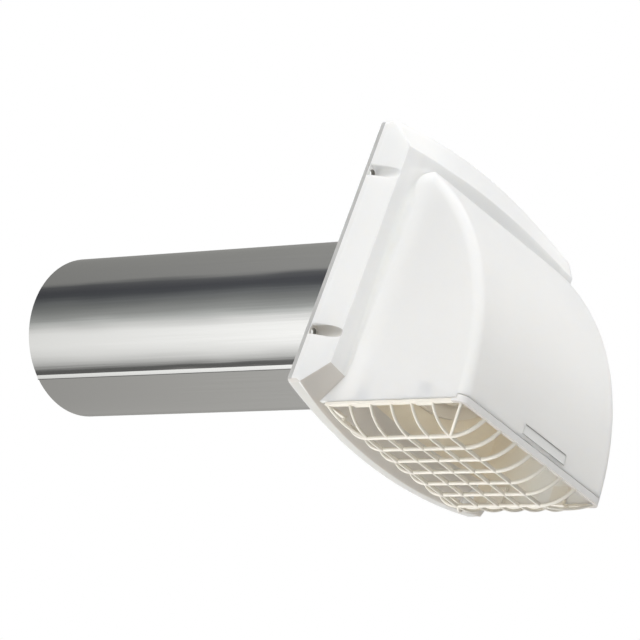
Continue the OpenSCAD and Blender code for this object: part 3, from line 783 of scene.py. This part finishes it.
slope = [(-2.9, -0.04), (-1.6, 0.42), (-0.45, 0.8)]
crest = [(-0.38, 0.815), (0.22, 0.843)]
steep_edge = [(0.5, 0.4), (0.65, -0.3)]
root = [(-2.6, -0.14)]
ridge_section = [(math.radians(SEAM_ANGLE + turn), PIPE_R + tall)
                 for turn, tall in slope + crest + steep_edge + root]
ridge_y = [corner[1] / MM + inset for corner, inset in zip(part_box("tail_pipe"), RIDGE_ENDS)]
ridge_points = [(radius * math.cos(angle), y, radius * math.sin(angle))
                for y in ridge_y for angle, radius in ridge_section]
sides = len(ridge_section)
ridge_faces = [tuple(range(sides)), tuple(reversed(range(sides, 2 * sides)))]
ridge_faces += [(i, sides + i, sides + (i + 1) % sides, (i + 1) % sides) for i in range(sides)]
add_piece("seam_fold", ridge_points, ridge_faces, pipe_metal, "pipe_aluminium", RIDGE_CREASE)

# %% [markdown]
# ## Panel on the front: its grid
# Low on the front a narrow framed panel with a bare floor is moulded in. A box would float off the curve, so
# its points are laid on the curve: across in millimetres, up as an angle about the curve's axis, and out
# along the normal. The frame stands half a millimetre proud, and its floor is nearly flush. Each of the
# eight rows and columns has a level: the root inside the wall, the floor or the top of the frame.

# %% Set out the panel's rows and columns
PANEL_X = (-13.0, 26.5)
PANEL_ANGLE = (4.25, 6.35)
FRAME_W = 0.7
FRAME_TALL = 0.5
FLOOR_TALL = 0.03
DRAFT = 0.15
ROOT = 0.6


def frame_stations(start, stop, unit):
    steps = [0, DRAFT, FRAME_W - DRAFT, FRAME_W]
    rising = [start + step * unit for step in steps]
    return rising + [stop - step * unit for step in reversed(steps)]


panel_columns = frame_stations(*PANEL_X, 1)
panel_rows = frame_stations(*PANEL_ANGLE, math.degrees(1) / CURVE_R)
levels = [0, 2, 2, 1, 1, 2, 2, 0]
heights = (-ROOT, FLOOR_TALL, FRAME_TALL)
print("panel", PANEL_X[1] - PANEL_X[0], "mm wide")

# %% [markdown]
# ## Panel on the front: its mesh
# Where a row and a column cross, the higher level wins, except that the outermost ones always lie at the
# root. A last face closes the back. The panel is too thin for the scattering that the hood's wall has, so
# it takes a copy of the hood's resin without it.

# %% Mould the framed panel on the curve
PANEL_CREASE = 20


def on_curve(x, angle, out):
    turn = math.radians(angle)
    return (x, CURVE_Y - (CURVE_R + out) * math.cos(turn), CURVE_Z + (CURVE_R + out) * math.sin(turn))


panel_points, panel_faces = [], []
for column, x in zip(levels, panel_columns):
    for row, angle in zip(levels, panel_rows):
        level = 0 if 0 in (column, row) else max(column, row)
        panel_points.append(on_curve(x, angle, heights[level]))
count = len(levels)
for i in range(count - 1):
    for j in range(count - 1):
        first = i * count + j
        panel_faces.append((first, first + count, first + count + 1, first + 1))
border = [i * count for i in range(count)] + [(count - 1) * count + j for j in range(1, count)]
border += [i * count + count - 1 for i in range(count - 2, -1, -1)] + list(range(count - 2, 0, -1))
panel_faces.append(tuple(reversed(border)))
panel_resin = hood_resin.copy()
panel_resin.name = "moulded_white_abs_panel"
panel_resin.node_tree.nodes["Principled BSDF"].inputs["Subsurface Weight"].default_value = 0.0
add_piece("bare_panel", panel_points, panel_faces, panel_resin, "hood_plastic", PANEL_CREASE)

# %% [markdown]
# ## Ribs across the guard
# The guard's cross bars stand a little prouder than its long bars, so each long bar looks cut into short
# strokes. The solids have both sets in one plane. A slim rib along each cross bar gives the step back: a
# round section pulled along a path that dives into the bar at both ends. A curve with a bevel could draw
# it as well, but rings of points give a clean closed mesh at once.

# %% Lay a rib along each cross bar
CROSS_BARS = 5
BASKET_Z = -102.7
CROSS_FRONT = -99.6
CROSS_PITCH = 16.46
RIB_R = 0.9
RIB_SIDES = 14
RIB_CREASE = 40

half_path = [(44.4, 0.1), (43.0, -0.25), (41.5, -0.5), (39.0, -0.65)]
rib_path = [(-x, drop) for x, drop in half_path] + half_path[::-1]
rib_points, rib_faces = [], []
for x, drop in rib_path:
    for i in range(RIB_SIDES):
        angle = 2 * math.pi * i / RIB_SIDES
        rib_points.append((x, RIB_R * math.cos(angle), BASKET_Z + drop + RIB_R * math.sin(angle)))
for near in range(0, len(rib_points) - RIB_SIDES, RIB_SIDES):
    far = near + RIB_SIDES
    rib_faces += [(near + i, near + (i + 1) % RIB_SIDES, far + (i + 1) % RIB_SIDES, far + i)
                  for i in range(RIB_SIDES)]
rib_faces += [tuple(reversed(range(RIB_SIDES))), tuple(range(len(rib_points) - RIB_SIDES, len(rib_points)))]
rib_places = [Matrix.Translation((0, CROSS_FRONT + i * CROSS_PITCH, 0)) for i in range(CROSS_BARS)]
add_piece("guard_cross_ribs", *copies(rib_points, rib_faces, rib_places),
          guard_resin, "guard_plastic", RIB_CREASE, "guard")
